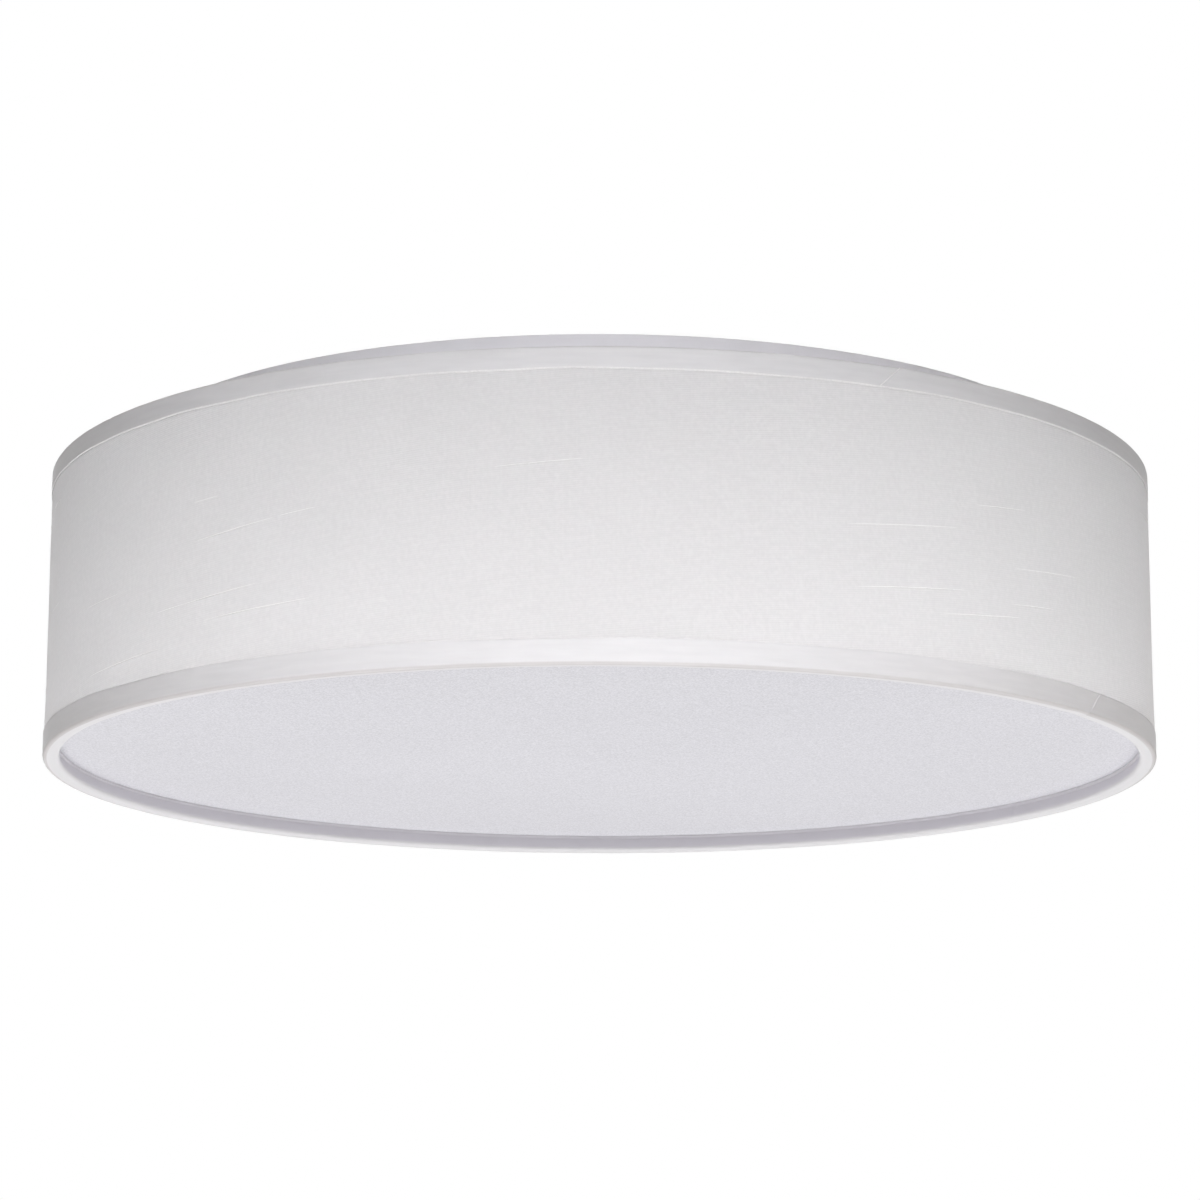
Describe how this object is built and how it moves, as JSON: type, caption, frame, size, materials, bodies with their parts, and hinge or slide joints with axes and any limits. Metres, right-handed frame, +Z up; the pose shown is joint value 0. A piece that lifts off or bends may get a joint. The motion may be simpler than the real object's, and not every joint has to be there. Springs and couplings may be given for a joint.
{
  "type": "flush mount ceiling light",
  "caption": "Flush mount ceiling light: white fabric drum shade with bound edges and an opal diffuser, pushed up on to sprung clips round a stepped white ceiling pan.",
  "frame": {"origin": "middle of the ceiling face, on the plane where the pan and its strap meet the ceiling", "axes": "+Z up into the ceiling; the light hangs towards -Z; +Y to the back, where the seam of the shade is; +X to the right"},
  "size_m": [0.4063, 0.4064, 0.1174],
  "materials": {
    "white_powder_coat": "satin powder coat",
    "spring_steel": "bright spring steel",
    "zinc_steel": "zinc plated",
    "green_zinc": "green dyed zinc",
    "nickel_brass": "nickel plated",
    "white_board": "white solder mask",
    "phosphor": "phosphor resin",
    "white_nylon": "moulded",
    "driver_plastic": "moulded, fine grain",
    "circuit_laminate": "solder mask",
    "winding_tape": "polyester tape on ferrite",
    "capacitor_sleeve": "shrink sleeve",
    "ferrite": "coated ferrite",
    "terminal_brass": "machined",
    "tinned_copper": "tinned",
    "black_rubber": "moulded",
    "black_insulation": "smooth",
    "white_insulation": "smooth",
    "green_insulation": "smooth",
    "red_insulation": "smooth",
    "white_linen": "plain weave with slubs",
    "white_styrene": "smooth sheet",
    "white_wire": "white enamel",
    "white_tape": "fine woven tape",
    "white_hoop": "moulded",
    "opal_acrylic": "opal, frosted underside"
  },
  "bodies": {
    "pan": {"ceiling_pan": "white_powder_coat", "spring_clip_1": "spring_steel", "spring_clip_2": "spring_steel", "spring_clip_3": "spring_steel", "clip_rivets": "zinc_steel", "mounting_strap": "zinc_steel", "hanger_studs": "zinc_steel", "strap_bond_screw": "green_zinc", "led_board": "white_board", "led_packages": "phosphor", "board_screws": "zinc_steel", "board_plug": "white_nylon", "driver_case": "driver_plastic", "driver_cover": "driver_plastic", "driver_circuit_board": "circuit_laminate", "driver_transformer": "winding_tape", "driver_capacitor": "capacitor_sleeve", "driver_choke": "ferrite", "driver_input_terminal": "white_nylon", "driver_output_terminal": "white_nylon", "driver_screws": "zinc_steel", "terminal_block": "white_nylon", "terminal_sleeves": "terminal_brass", "terminal_clamp_screws": "zinc_steel", "terminal_block_screws": "zinc_steel", "earth_tag": "tinned_copper", "earth_screw": "green_zinc", "wire_grommet": "black_rubber", "line_lead": "black_insulation", "neutral_lead": "white_insulation", "earth_lead": "green_insulation", "output_lead_positive": "red_insulation", "output_lead_negative": "black_insulation"},
    "shade": {"shade_fabric": "white_linen", "shade_liner": "white_styrene", "top_wire_ring": "white_wire", "top_trim": "white_tape", "bottom_hoop": "white_hoop", "bottom_trim": "white_tape", "fitter_collar": "white_wire", "fitter_arm_1": "white_wire", "fitter_arm_2": "white_wire", "fitter_arm_3": "white_wire"},
    "diffuser_sheet": {"diffuser": "opal_acrylic"},
    "washer_1": {"stud_washer_1": "zinc_steel"},
    "nut_1": {"thumb_nut_1": "nickel_brass"},
    "washer_2": {"stud_washer_2": "zinc_steel"},
    "nut_2": {"thumb_nut_2": "nickel_brass"}
  },
  "joints": [
    {"name": "shade_drop", "type": "slide", "parent": "pan", "child": "shade", "axis": [0, 0, -1], "range_m": [0, 0.12], "deforming": ["spring_clip_1", "spring_clip_2", "spring_clip_3"]},
    {"name": "diffuser_lift", "type": "slide", "parent": "shade", "child": "diffuser_sheet", "axis": [0, 0, 1], "range_m": [0, 0.059]},
    {"name": "nut_1_travel", "type": "slide", "parent": "pan", "child": "washer_1", "axis": [0, 0, -1], "range_m": [0, 0.0113]},
    {"name": "nut_1_spin", "type": "hinge", "parent": "washer_1", "child": "nut_1", "pos_m": [-0.06, 0, -0.0343], "axis": [0, 0, -1], "range_deg": [0, 5760]},
    {"name": "nut_2_travel", "type": "slide", "parent": "pan", "child": "washer_2", "axis": [0, 0, -1], "range_m": [0, 0.0113]},
    {"name": "nut_2_spin", "type": "hinge", "parent": "washer_2", "child": "nut_2", "pos_m": [0.06, 0, -0.0343], "axis": [0, 0, -1], "range_deg": [0, 5760]}
  ],
  "couplings": [
    {"joint": "nut_1_travel", "follows": "nut_1_spin", "m_per_rad": 0.00011141},
    {"joint": "nut_2_travel", "follows": "nut_2_spin", "m_per_rad": 0.00011141}
  ]
}
